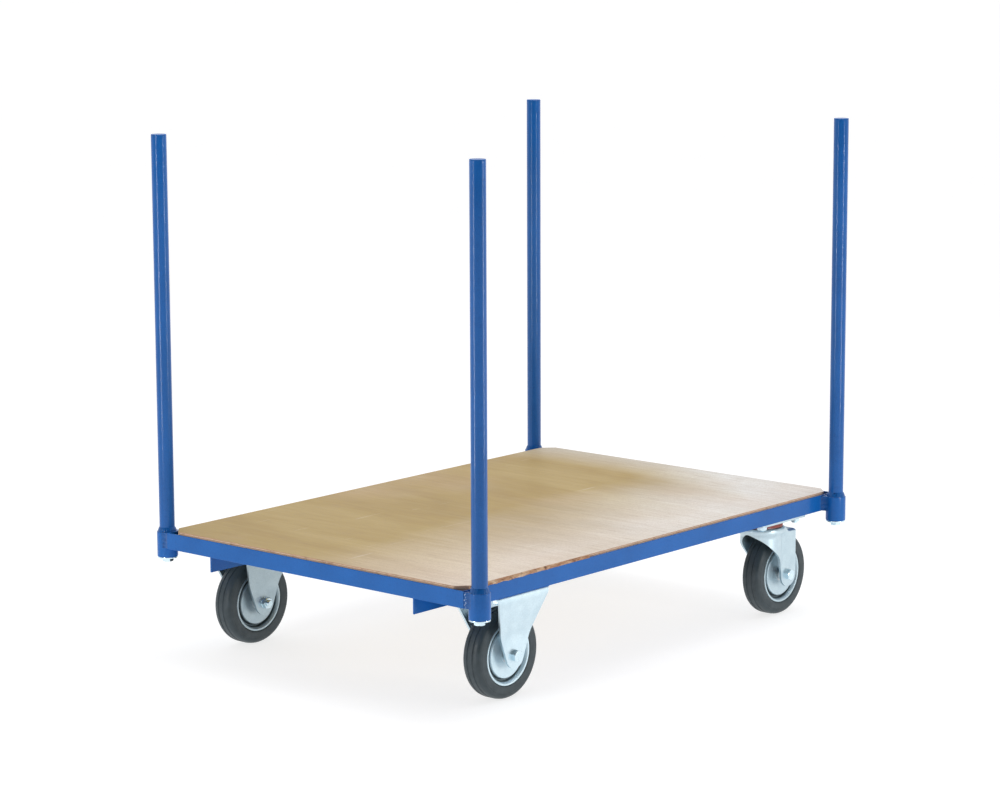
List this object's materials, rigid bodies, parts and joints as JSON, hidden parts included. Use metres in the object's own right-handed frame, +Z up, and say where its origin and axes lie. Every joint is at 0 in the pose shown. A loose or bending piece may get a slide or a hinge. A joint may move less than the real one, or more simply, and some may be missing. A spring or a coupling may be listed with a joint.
{
  "type": "platform trolley",
  "caption": "Flat timber platform trolley with a blue angle-steel frame, tall round posts at the corners, fixed castors at one end and swivel castors at the other.",
  "frame": {"origin": "on the floor under the middle of the platform", "axes": "+X along the platform towards the swivel castors, +Y to the left, +Z up"},
  "size_m": [1.08, 0.796, 0.949],
  "materials": {
    "blue_coat": "gloss powder coat",
    "plywood": "satin",
    "tyre_rubber": "matte",
    "seal_rubber": "matte",
    "zinc_plate": "bright zinc plated",
    "zinc_rim": "bright zinc plated",
    "zinc_fastener": "zinc plated",
    "ball_steel": "polished",
    "hub_steel": "greased steel"
  },
  "bodies": {
    "chassis": {"axle_bolts_rear": "zinc_fastener", "axle_nuts_rear": "zinc_fastener", "axle_sleeves_rear": "zinc_fastener", "bracket_rear_left": "zinc_plate", "bracket_rear_right": "zinc_plate", "castor_bearer_left": "blue_coat", "castor_bearer_right": "blue_coat", "castor_bolts": "zinc_fastener", "castor_nuts": "zinc_fastener", "cross_bearer_1": "blue_coat", "cross_bearer_2": "blue_coat", "cross_bearer_3": "blue_coat", "cross_bearer_4": "blue_coat", "deck_panel": "plywood", "deck_screws": "zinc_fastener", "dust_seal_left": "seal_rubber", "dust_seal_right": "seal_rubber", "end_rail_front": "blue_coat", "end_rail_rear": "blue_coat", "kingpin_left": "zinc_fastener", "kingpin_right": "zinc_fastener", "long_rail_left": "blue_coat", "long_rail_right": "blue_coat", "post_bolts": "zinc_fastener", "post_caps": "blue_coat", "post_collars": "blue_coat", "post_front_left": "blue_coat", "post_front_right": "blue_coat", "post_inserts": "zinc_fastener", "post_rear_left": "blue_coat", "post_rear_right": "blue_coat", "post_washers": "zinc_fastener", "race_balls_left": "ball_steel", "race_balls_right": "ball_steel", "socket_front_left": "blue_coat", "socket_front_right": "blue_coat", "socket_rear_left": "blue_coat", "socket_rear_right": "blue_coat", "swivel_plate_left": "zinc_plate", "swivel_plate_right": "zinc_plate"},
    "swivel_front_left": {"axle_bolt_front_left": "zinc_fastener", "axle_nut_front_left": "zinc_fastener", "axle_sleeve_front_left": "zinc_fastener", "fork_left": "zinc_plate"},
    "wheel_front_left": {"hub_front_left": "hub_steel", "rim_front_left": "zinc_rim", "tyre_front_left": "tyre_rubber"},
    "wheel_rear_left": {"hub_rear_left": "hub_steel", "rim_rear_left": "zinc_rim", "tyre_rear_left": "tyre_rubber"},
    "swivel_front_right": {"axle_bolt_front_right": "zinc_fastener", "axle_nut_front_right": "zinc_fastener", "axle_sleeve_front_right": "zinc_fastener", "fork_right": "zinc_plate"},
    "wheel_front_right": {"hub_front_right": "hub_steel", "rim_front_right": "zinc_rim", "tyre_front_right": "tyre_rubber"},
    "wheel_rear_right": {"hub_rear_right": "hub_steel", "rim_rear_right": "zinc_rim", "tyre_rear_right": "tyre_rubber"}
  },
  "joints": [
    {"name": "swivel_front_left", "type": "hinge", "parent": "chassis", "child": "swivel_front_left", "pos_m": [0.382, 0.304, 0.17], "axis": [0, 0, 1], "continuous": true},
    {"name": "wheel_front_left_spin", "type": "hinge", "parent": "swivel_front_left", "child": "wheel_front_left", "pos_m": [0.424, 0.304, 0.08], "axis": [0, 1, 0], "continuous": true},
    {"name": "wheel_rear_left_spin", "type": "hinge", "parent": "chassis", "child": "wheel_rear_left", "pos_m": [-0.382, 0.304, 0.08], "axis": [0, 1, 0], "continuous": true},
    {"name": "swivel_front_right", "type": "hinge", "parent": "chassis", "child": "swivel_front_right", "pos_m": [0.382, -0.304, 0.17], "axis": [0, 0, 1], "continuous": true},
    {"name": "wheel_front_right_spin", "type": "hinge", "parent": "swivel_front_right", "child": "wheel_front_right", "pos_m": [0.424, -0.304, 0.08], "axis": [0, 1, 0], "continuous": true},
    {"name": "wheel_rear_right_spin", "type": "hinge", "parent": "chassis", "child": "wheel_rear_right", "pos_m": [-0.382, -0.304, 0.08], "axis": [0, 1, 0], "continuous": true}
  ]
}
